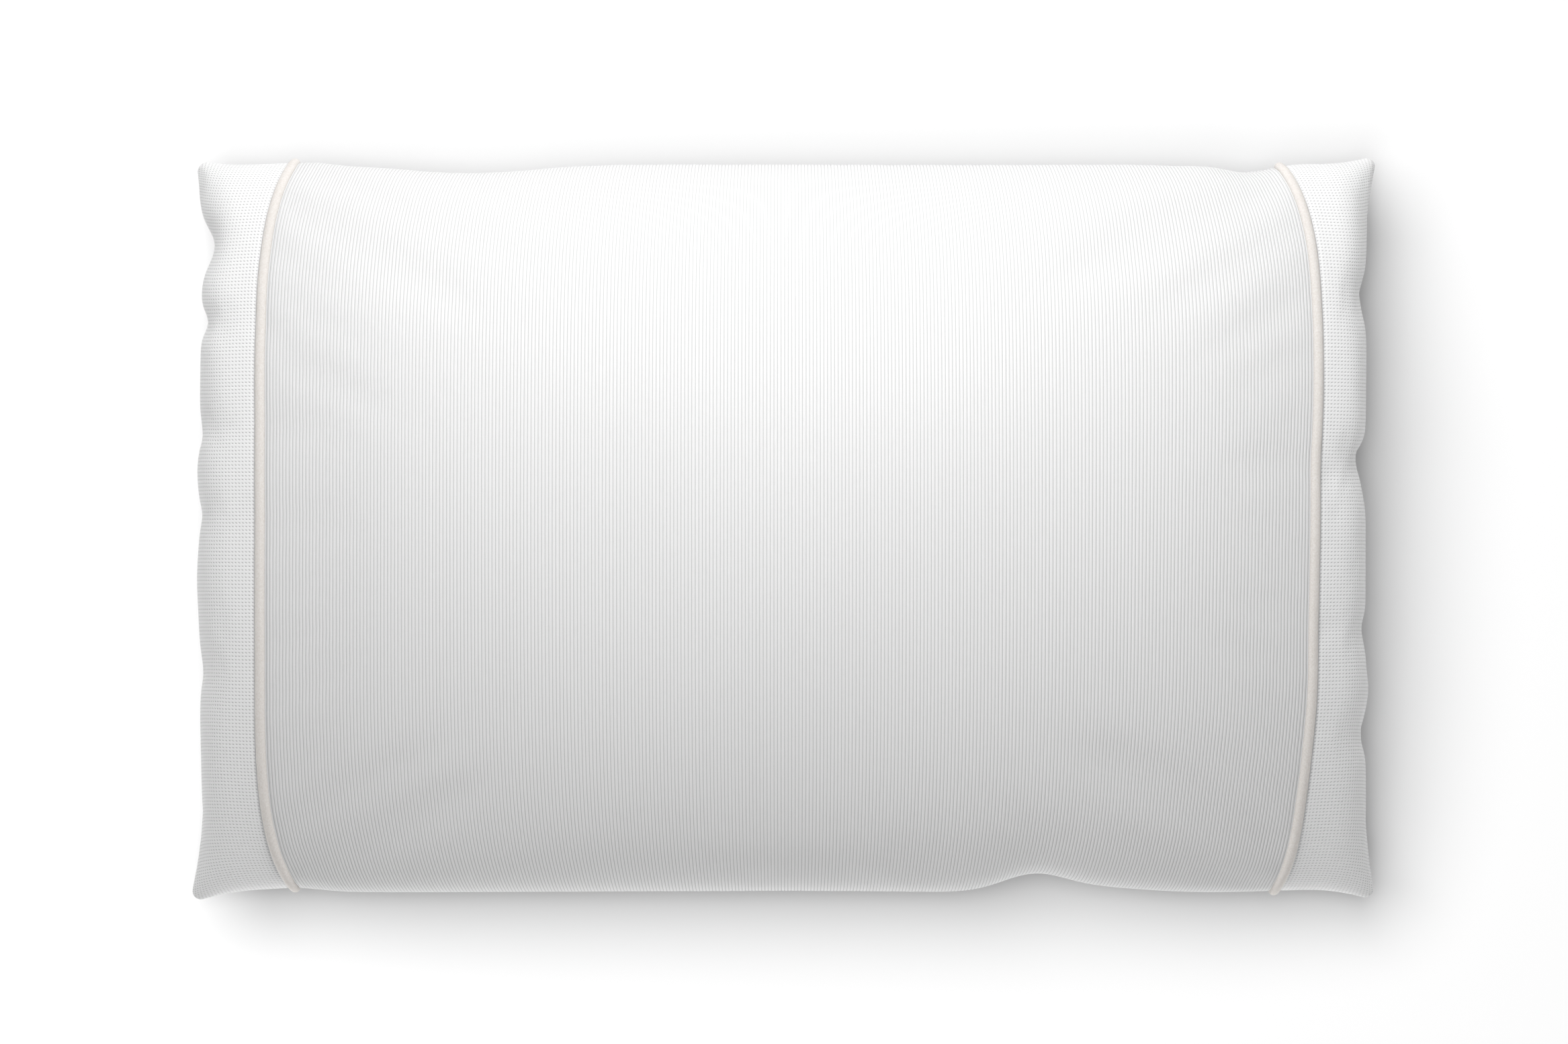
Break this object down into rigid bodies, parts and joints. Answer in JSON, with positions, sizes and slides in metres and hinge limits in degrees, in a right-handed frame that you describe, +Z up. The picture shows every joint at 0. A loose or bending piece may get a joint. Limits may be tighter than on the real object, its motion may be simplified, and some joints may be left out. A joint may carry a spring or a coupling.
{
  "type": "bed pillow",
  "caption": "Rectangular filled bed pillow with a ribbed knit cover, mesh end panels edged with contrast piping, and a concealed zip along one long side.",
  "frame": {"origin": "on the surface that the pillow lies on, under the middle of its bounding box", "axes": "+X along the pillow's length, +Y across it towards the zipped long side, +Z up out of the crown"},
  "size_m": [0.72, 0.4512, 0.138],
  "materials": {
    "ribbed_knit": "matt ribbed jersey",
    "air_mesh": "matt spacer mesh",
    "piping_knit": "matt twill knit",
    "cotton_cord": "soft twisted cotton",
    "lining": "matt plain weave",
    "fibre": "soft fibre",
    "zip_tape": "fine woven tape",
    "zip_teeth": "moulded",
    "slider_metal": "satin enamel",
    "label_satin": "satin ribbon"
  },
  "bodies": {
    "pillow": {"care_label": "label_satin", "centre_panel_bottom": "ribbed_knit", "centre_panel_top": "ribbed_knit", "fibre_fill": "fibre", "left_end_panel_bottom": "air_mesh", "left_end_panel_top": "air_mesh", "left_piping_cord_bottom": "cotton_cord", "left_piping_cord_top": "cotton_cord", "left_piping_sleeve_bottom": "piping_knit", "left_piping_sleeve_top": "piping_knit", "liner_bottom": "lining", "liner_top": "lining", "right_end_panel_bottom": "air_mesh", "right_end_panel_top": "air_mesh", "right_piping_cord_bottom": "cotton_cord", "right_piping_cord_top": "cotton_cord", "right_piping_sleeve_bottom": "piping_knit", "right_piping_sleeve_top": "piping_knit", "zip_bottom_stop": "slider_metal", "zip_tape_lower": "zip_tape", "zip_tape_upper": "zip_tape", "zip_teeth_lower": "zip_teeth", "zip_teeth_upper": "zip_teeth", "zip_top_stops": "slider_metal"},
    "zip_slider": {"zip_slider": "slider_metal"},
    "zip_pull": {"zip_pull": "slider_metal"}
  },
  "joints": [
    {"name": "zip_slide", "type": "slide", "parent": "pillow", "child": "zip_slider", "axis": [1, 0, 0], "range_m": [-0.469, 0], "deforming": ["zip_teeth_upper", "zip_teeth_lower"]},
    {"name": "pull_swing", "type": "hinge", "parent": "zip_slider", "child": "zip_pull", "pos_m": [0.23545, 0.2117, 0.049], "axis": [0, 0, 1], "range_deg": [-170, 0]}
  ]
}
